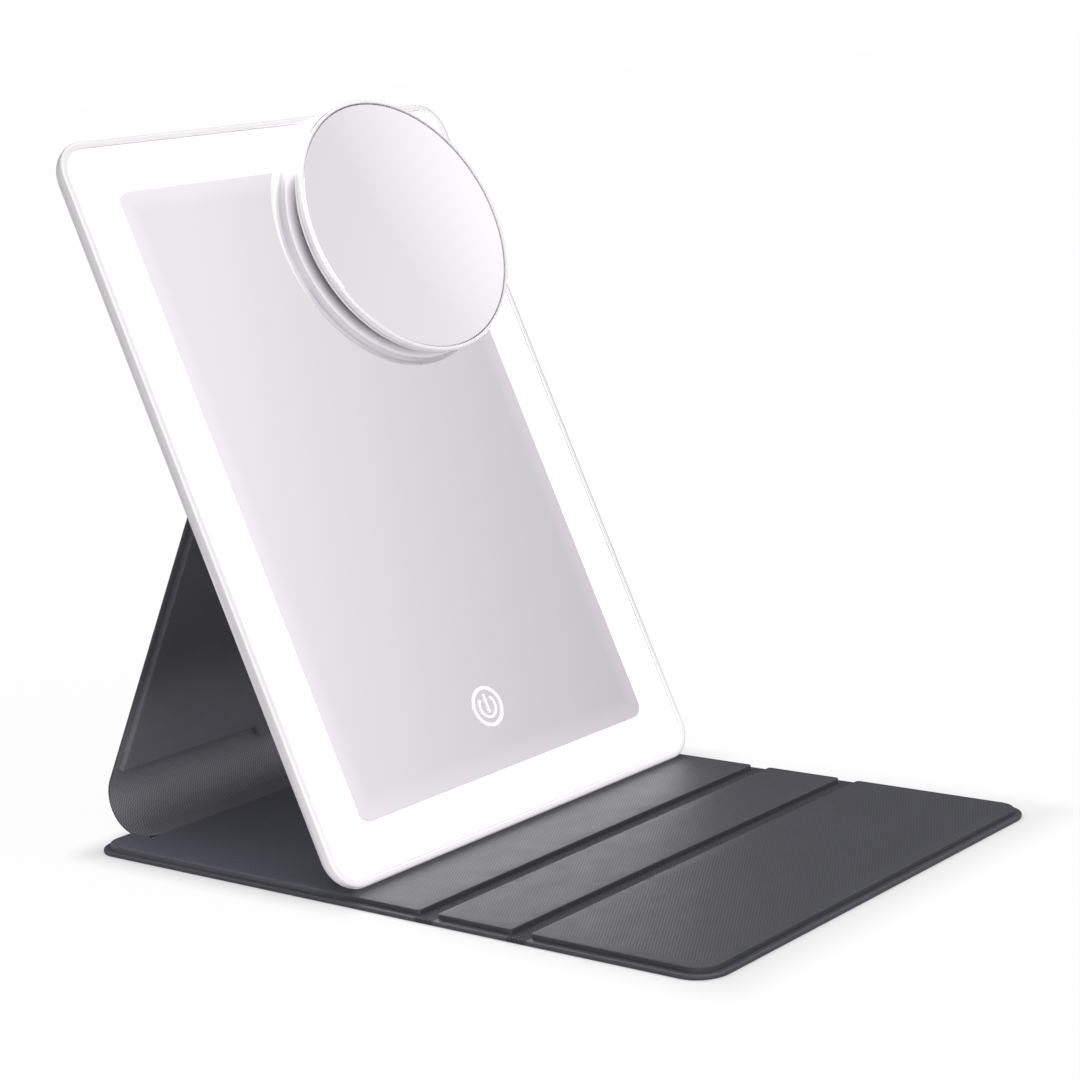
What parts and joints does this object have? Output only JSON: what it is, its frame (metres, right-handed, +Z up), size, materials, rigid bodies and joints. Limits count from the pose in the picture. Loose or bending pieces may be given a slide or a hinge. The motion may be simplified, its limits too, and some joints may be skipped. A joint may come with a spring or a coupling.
{
  "type": "lighted folding makeup mirror",
  "caption": "Flat lighted makeup mirror leaning on a folding dark cover that is its base and back leg, with a lit band round the glass and a round magnifying mirror held by magnets",
  "frame": {"origin": "On the table, on the underside of the cover's base panel, in the middle of the width, below the foot of the mirror", "axes": "+X to the right across the width as the user faces the mirror, +Y away from the user towards the leg, +Z up; the front faces -Y"},
  "size_m": [0.1804, 0.2609, 0.2374],
  "materials": {
    "white_plastic": "glossy white moulded plastic",
    "mirror_silver": "silvered mirror glass",
    "opal_diffuser": "opal light diffuser",
    "symbol_print": "white printed symbol",
    "cover_skin": "dark grey cover skin with a fine dotted emboss, satin",
    "cover_lining": "dark grey cover lining with a fine dotted emboss, satin",
    "cover_board": "grey-brown stiffening board, matte",
    "steel": "plain steel",
    "magnet_nickel": "nickel-plated magnet",
    "foam_tape": "black foam tape",
    "circuit_board": "white circuit board",
    "chip_black": "black insulated lead",
    "cell_wrap": "silver-grey cell wrap"
  },
  "bodies": {
    "base": {"base_skin": "cover_skin", "base_board": "cover_board", "base_lining": "cover_lining", "foot_steel": "steel", "groove_strip_rear": "cover_skin", "spine_strip": "cover_skin"},
    "rear_flap": {"flap_rear_skin": "cover_skin", "flap_rear_board": "cover_board", "flap_rear_lining": "cover_lining", "groove_strip_front": "cover_skin"},
    "front_flap": {"flap_front_skin": "cover_skin", "flap_front_board": "cover_board", "flap_front_lining": "cover_lining", "cover_magnet": "magnet_nickel"},
    "leg": {"leg_skin": "cover_skin", "leg_board": "cover_board", "leg_lining": "cover_lining", "fold_strip": "cover_skin"},
    "mirror_panel": {"front_frame": "white_plastic", "rear_shell": "white_plastic", "diffuser_band": "opal_diffuser", "mirror_glass": "mirror_silver", "mirror_tape": "foam_tape", "mirror_backing": "steel", "touch_ring": "symbol_print", "touch_arc": "symbol_print", "touch_stroke": "symbol_print", "touch_pad": "steel", "touch_spring": "steel", "light_tray": "white_plastic", "tray_screw_1": "steel", "tray_screw_2": "steel", "tray_screw_3": "steel", "tray_screw_4": "steel", "led_strip_left": "circuit_board", "led_strip_right": "circuit_board", "led_strip_top": "circuit_board", "led_strip_bottom": "circuit_board", "control_board": "circuit_board", "battery_pack": "cell_wrap", "battery_lead": "chip_black", "charge_port": "steel", "port_board": "circuit_board", "foot_magnet": "magnet_nickel", "back_adhesive": "foam_tape", "back_board": "cover_board", "back_skin": "cover_skin"},
    "magnifier": {"magnifier_housing": "white_plastic", "magnifier_glass": "mirror_silver", "magnifier_foot": "white_plastic", "magnifier_magnet_1": "magnet_nickel", "magnifier_magnet_2": "magnet_nickel", "magnifier_magnet_3": "magnet_nickel", "magnifier_pad": "foam_tape"}
  },
  "joints": [
    {"name": "leg_fold", "type": "hinge", "parent": "base", "child": "leg", "pos_m": [0, 0.1244, 0.0081], "axis": [1, 0, 0], "range_deg": [-118.46, 0], "deforming": ["spine_strip"]},
    {"name": "mirror_fold", "type": "hinge", "parent": "leg", "child": "mirror_panel", "pos_m": [0, 0.06641, 0.1252], "axis": [1, 0, 0], "range_deg": [0, 51.86], "deforming": ["fold_strip"]},
    {"name": "rear_groove_fold", "type": "hinge", "parent": "base", "child": "rear_flap", "pos_m": [0, -0.031, 0.001], "axis": [-1, 0, 0], "range_deg": [0, 85], "deforming": ["groove_strip_rear"]},
    {"name": "front_groove_fold", "type": "hinge", "parent": "rear_flap", "child": "front_flap", "pos_m": [0, -0.0671, 0.001], "axis": [-1, 0, 0], "range_deg": [0, 50], "deforming": ["groove_strip_front"]},
    {"name": "magnifier_pull", "type": "slide", "parent": "mirror_panel", "child": "magnifier", "axis": [0, -0.9178, 0.3971], "range_m": [0, 0.06]}
  ],
  "couplings": [
    {"joint": "mirror_fold", "follows": "leg_fold", "ratio": -0.43778}
  ]
}
